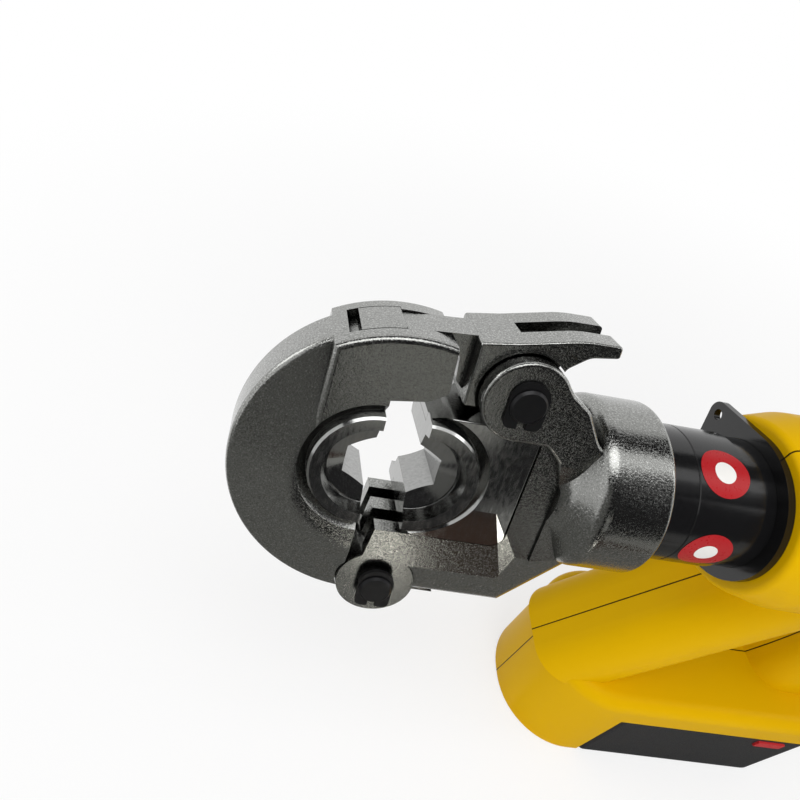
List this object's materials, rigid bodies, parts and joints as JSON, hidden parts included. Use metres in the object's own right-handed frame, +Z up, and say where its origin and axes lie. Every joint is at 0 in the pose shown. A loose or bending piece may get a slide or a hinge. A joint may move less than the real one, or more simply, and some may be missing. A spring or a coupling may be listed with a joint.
{
  "type": "hydraulic cable crimping tool",
  "caption": "Battery hydraulic crimping tool with a hinged flip-top jaw, thumb latch, ram with hexagon dies, turning head and a pistol-grip body on a slide-on battery.",
  "frame": {"origin": "middle of the flat underside that the tool stands on", "axes": "+X forward along the barrel to the jaw, +Y to the tool's left, +Z up"},
  "size_m": [0.3392, 0.076, 0.2483],
  "materials": {
    "bright_steel": "polished and plated forged steel",
    "dark_steel": "black oxide steel",
    "spring_steel": "spring wire",
    "black_sleeve": "black coated, half gloss",
    "yellow_shell": "moulded yellow plastic, half gloss",
    "black_rubber": "matt",
    "black_plastic": "fine texture",
    "red_plastic": "moulded",
    "cast_alloy": "machined",
    "cell_wrap": "wrapped cans",
    "board_green": "lacquered board",
    "contact_brass": "bright"
  },
  "bodies": {
    "housing": {"housing_left": "yellow_shell", "housing_right": "yellow_shell", "grip_pad_left": "black_rubber", "grip_pad_right": "black_rubber", "housing_screws": "dark_steel", "cylinder": "black_sleeve", "hanger_ring": "black_sleeve", "oil_bladder": "black_rubber", "pump_block": "cast_alloy", "gearbox": "cast_alloy", "motor": "dark_steel", "trigger_switch": "black_plastic", "trigger_spring": "spring_steel", "control_board": "board_green", "terminal_block": "black_plastic", "terminal_blades": "contact_brass", "release_spring": "spring_steel"},
    "head": {"yoke": "bright_steel", "swivel_ring": "black_sleeve", "hinge_pin": "dark_steel", "latch_pin": "dark_steel", "retaining_clips": "dark_steel", "return_spring": "spring_steel", "latch_spring": "spring_steel"},
    "jaw": {"swing_jaw": "bright_steel", "fixed_die": "bright_steel"},
    "latch": {"latch": "bright_steel"},
    "ram": {"ram_block": "bright_steel", "piston": "bright_steel", "piston_seal": "black_rubber", "moving_die": "bright_steel"},
    "trigger": {"trigger": "black_plastic"},
    "release": {"release_button": "red_plastic", "release_plunger": "bright_steel"},
    "battery": {"battery_tub": "black_plastic", "battery_cover": "black_plastic", "battery_cells": "cell_wrap", "catch_spring_left": "spring_steel", "catch_spring_right": "spring_steel"},
    "catch_left": {"battery_catch_left": "red_plastic"},
    "catch_right": {"battery_catch_right": "red_plastic"}
  },
  "joints": [
    {"name": "head_swivel", "type": "hinge", "parent": "housing", "child": "head", "pos_m": [0.0854, 0, 0.19], "axis": [1, 0, 0], "range_deg": [-170, 170]},
    {"name": "jaw_swing", "type": "hinge", "parent": "head", "child": "jaw", "pos_m": [0.1821, 0.0171, 0.14302], "axis": [0, 0.9397, 0.342], "range_deg": [0, 95]},
    {"name": "latch_swing", "type": "hinge", "parent": "head", "child": "latch", "pos_m": [0.1529, -0.01211, 0.22326], "axis": [0, -0.9397, -0.342], "range_deg": [0, 42]},
    {"name": "ram_slide", "type": "slide", "parent": "head", "child": "ram", "axis": [1, 0, 0], "range_m": [0, 0.0152], "stiffness_N_per_m": 1500, "springref_m": -0.02, "deforming": ["return_spring"]},
    {"name": "trigger_pull", "type": "slide", "parent": "housing", "child": "trigger", "axis": [-1, 0, 0], "range_m": [0, 0.006], "stiffness_N_per_m": 800, "springref_m": -0.004, "deforming": ["trigger_spring"]},
    {"name": "release_press", "type": "slide", "parent": "housing", "child": "release", "axis": [0, 0, -1], "range_m": [0, 0.003], "stiffness_N_per_m": 1200, "springref_m": -0.003, "deforming": ["release_spring"]},
    {"name": "battery_slide", "type": "slide", "parent": "housing", "child": "battery", "axis": [-1, 0, 0], "range_m": [0, 0.09]},
    {"name": "catch_left_press", "type": "slide", "parent": "battery", "child": "catch_left", "axis": [0, -1, 0], "range_m": [0, 0.0025], "stiffness_N_per_m": 1000, "springref_m": -0.002, "deforming": ["catch_spring_left"]},
    {"name": "catch_right_press", "type": "slide", "parent": "battery", "child": "catch_right", "axis": [0, 1, 0], "range_m": [0, 0.0025], "stiffness_N_per_m": 1000, "springref_m": -0.002, "deforming": ["catch_spring_right"]}
  ],
  "couplings": [
    {"joint": "latch_swing", "follows": "jaw_swing", "ratio": 0.4421}
  ]
}
